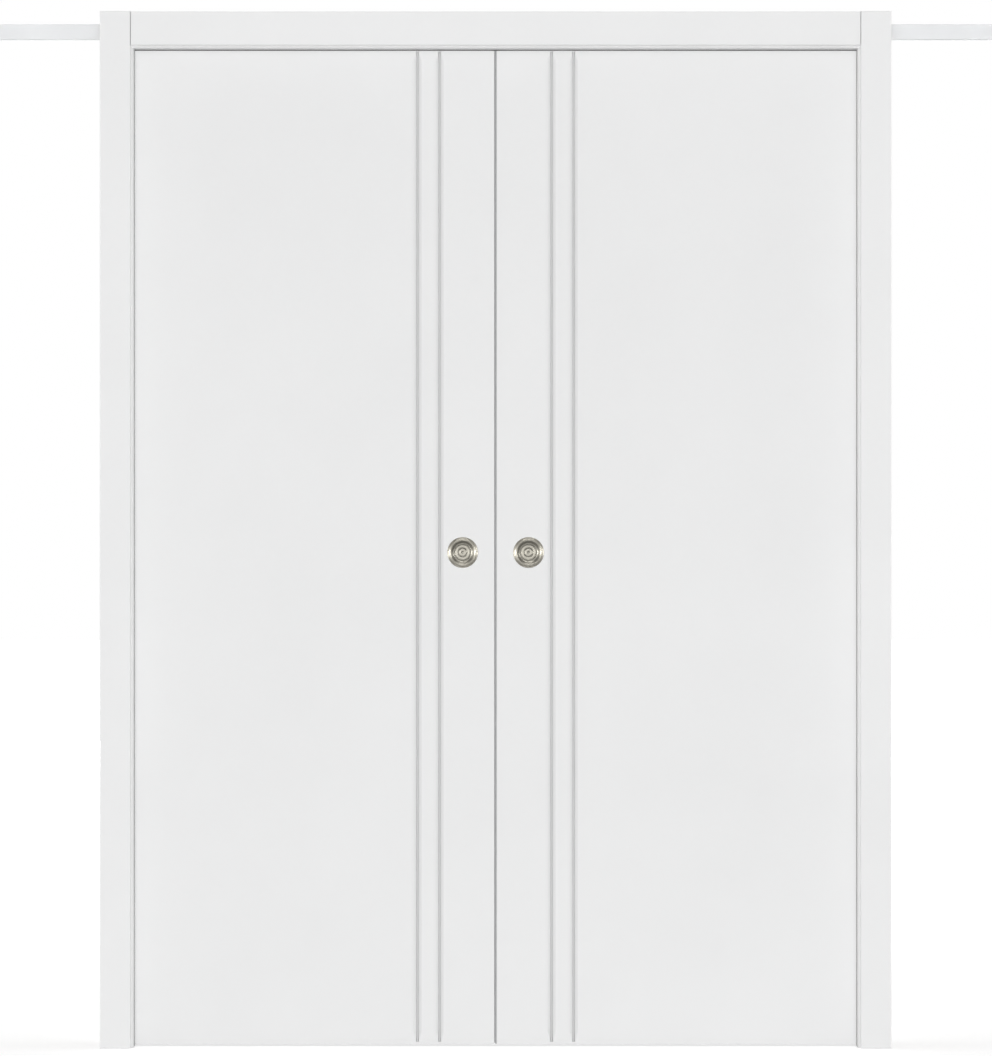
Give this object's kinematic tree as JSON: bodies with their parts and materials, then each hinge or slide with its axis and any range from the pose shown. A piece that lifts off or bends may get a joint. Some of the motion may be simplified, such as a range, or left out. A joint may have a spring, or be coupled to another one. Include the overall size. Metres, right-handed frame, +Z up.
{
  "type": "double pocket door",
  "caption": "White double pocket door: grooved sliding leaves with round flush pulls, hung on wheels in rails, in a frame of split jambs and flat casings.",
  "frame": {"origin": "on the floor, in the middle of the frame's width and depth", "axes": "+Z up, +X to the right along the doorway, -Y out of the front face"},
  "size_m": [2.7726, 0.14, 2.107],
  "materials": {
    "door_laminate": "white silk laminate",
    "frame_laminate": "white silk laminate",
    "softwood": "planed softwood",
    "plywood": "sanded plywood",
    "satin_nickel": "satin nickel plate, turned",
    "galvanised_plate": "galvanised",
    "cast_zinc": "die-cast, tumbled",
    "zinc_screw": "bright zinc plate",
    "anodised_rail": "natural anodised",
    "wheel_nylon": "moulded nylon",
    "guide_nylon": "moulded nylon",
    "stop_plastic": "moulded plastic",
    "seal_rubber": "extruded soft seal"
  },
  "bodies": {
    "frame": {"head_casing_front": "frame_laminate", "head_casing_back": "frame_laminate", "head_jamb_front": "frame_laminate", "head_jamb_back": "frame_laminate", "header_cleat_front": "softwood", "header_cleat_back": "softwood", "header_board": "plywood", "centre_stop": "stop_plastic", "pan_head_screws": "zinc_screw", "countersunk_screws": "zinc_screw", "left_casing_front": "frame_laminate", "left_casing_back": "frame_laminate", "left_jamb_front": "frame_laminate", "left_jamb_back": "frame_laminate", "left_stud_front": "softwood", "left_stud_back": "softwood", "left_floor_bracket": "galvanised_plate", "left_floor_guides": "guide_nylon", "left_rail": "anodised_rail", "left_end_stop": "stop_plastic", "right_casing_front": "frame_laminate", "right_casing_back": "frame_laminate", "right_jamb_front": "frame_laminate", "right_jamb_back": "frame_laminate", "right_stud_front": "softwood", "right_stud_back": "softwood", "right_floor_bracket": "galvanised_plate", "right_floor_guides": "guide_nylon", "right_rail": "anodised_rail", "right_end_stop": "stop_plastic"},
    "left_leaf": {"left_slab": "door_laminate", "left_edge_seal": "seal_rubber", "left_pull_front": "satin_nickel", "left_pull_back": "satin_nickel", "left_plate_screws": "zinc_screw", "left_hanger_bolts": "zinc_screw", "left_wheel_axles": "zinc_screw", "left_hanger_plate_inner": "galvanised_plate", "left_hanger_plate_outer": "galvanised_plate", "left_carriage_inner": "cast_zinc", "left_carriage_outer": "cast_zinc"},
    "left_wheels_inner_near": {"left_wheels_inner_near": "wheel_nylon"},
    "left_wheels_inner_far": {"left_wheels_inner_far": "wheel_nylon"},
    "left_wheels_outer_near": {"left_wheels_outer_near": "wheel_nylon"},
    "left_wheels_outer_far": {"left_wheels_outer_far": "wheel_nylon"},
    "right_leaf": {"right_slab": "door_laminate", "right_edge_seal": "seal_rubber", "right_pull_front": "satin_nickel", "right_pull_back": "satin_nickel", "right_plate_screws": "zinc_screw", "right_hanger_bolts": "zinc_screw", "right_wheel_axles": "zinc_screw", "right_hanger_plate_inner": "galvanised_plate", "right_hanger_plate_outer": "galvanised_plate", "right_carriage_inner": "cast_zinc", "right_carriage_outer": "cast_zinc"},
    "right_wheels_inner_near": {"right_wheels_inner_near": "wheel_nylon"},
    "right_wheels_inner_far": {"right_wheels_inner_far": "wheel_nylon"},
    "right_wheels_outer_near": {"right_wheels_outer_near": "wheel_nylon"},
    "right_wheels_outer_far": {"right_wheels_outer_far": "wheel_nylon"}
  },
  "joints": [
    {"name": "left_leaf_slide", "type": "slide", "parent": "frame", "child": "left_leaf", "axis": [-1, 0, 0], "range_m": [0, 0.63]},
    {"name": "left_wheels_inner_near_spin", "type": "hinge", "parent": "left_leaf", "child": "left_wheels_inner_near", "pos_m": [-0.05625, 0, 2.0688], "axis": [0, 1, 0], "continuous": true},
    {"name": "left_wheels_inner_far_spin", "type": "hinge", "parent": "left_leaf", "child": "left_wheels_inner_far", "pos_m": [-0.09625, 0, 2.0688], "axis": [0, 1, 0], "continuous": true},
    {"name": "left_wheels_outer_near_spin", "type": "hinge", "parent": "left_leaf", "child": "left_wheels_outer_near", "pos_m": [-0.67025, 0, 2.0688], "axis": [0, 1, 0], "continuous": true},
    {"name": "left_wheels_outer_far_spin", "type": "hinge", "parent": "left_leaf", "child": "left_wheels_outer_far", "pos_m": [-0.71025, 0, 2.0688], "axis": [0, 1, 0], "continuous": true},
    {"name": "right_leaf_slide", "type": "slide", "parent": "frame", "child": "right_leaf", "axis": [1, 0, 0], "range_m": [0, 0.63]},
    {"name": "right_wheels_inner_near_spin", "type": "hinge", "parent": "right_leaf", "child": "right_wheels_inner_near", "pos_m": [0.05625, 0, 2.0688], "axis": [0, 1, 0], "continuous": true},
    {"name": "right_wheels_inner_far_spin", "type": "hinge", "parent": "right_leaf", "child": "right_wheels_inner_far", "pos_m": [0.09625, 0, 2.0688], "axis": [0, 1, 0], "continuous": true},
    {"name": "right_wheels_outer_near_spin", "type": "hinge", "parent": "right_leaf", "child": "right_wheels_outer_near", "pos_m": [0.67025, 0, 2.0688], "axis": [0, 1, 0], "continuous": true},
    {"name": "right_wheels_outer_far_spin", "type": "hinge", "parent": "right_leaf", "child": "right_wheels_outer_far", "pos_m": [0.71025, 0, 2.0688], "axis": [0, 1, 0], "continuous": true}
  ],
  "couplings": [
    {"joint": "left_wheels_inner_near_spin", "follows": "left_leaf_slide", "rad_per_m": -90.909},
    {"joint": "left_wheels_inner_far_spin", "follows": "left_leaf_slide", "rad_per_m": -90.909},
    {"joint": "left_wheels_outer_near_spin", "follows": "left_leaf_slide", "rad_per_m": -90.909},
    {"joint": "left_wheels_outer_far_spin", "follows": "left_leaf_slide", "rad_per_m": -90.909},
    {"joint": "right_wheels_inner_near_spin", "follows": "right_leaf_slide", "rad_per_m": 90.909},
    {"joint": "right_wheels_inner_far_spin", "follows": "right_leaf_slide", "rad_per_m": 90.909},
    {"joint": "right_wheels_outer_near_spin", "follows": "right_leaf_slide", "rad_per_m": 90.909},
    {"joint": "right_wheels_outer_far_spin", "follows": "right_leaf_slide", "rad_per_m": 90.909}
  ]
}
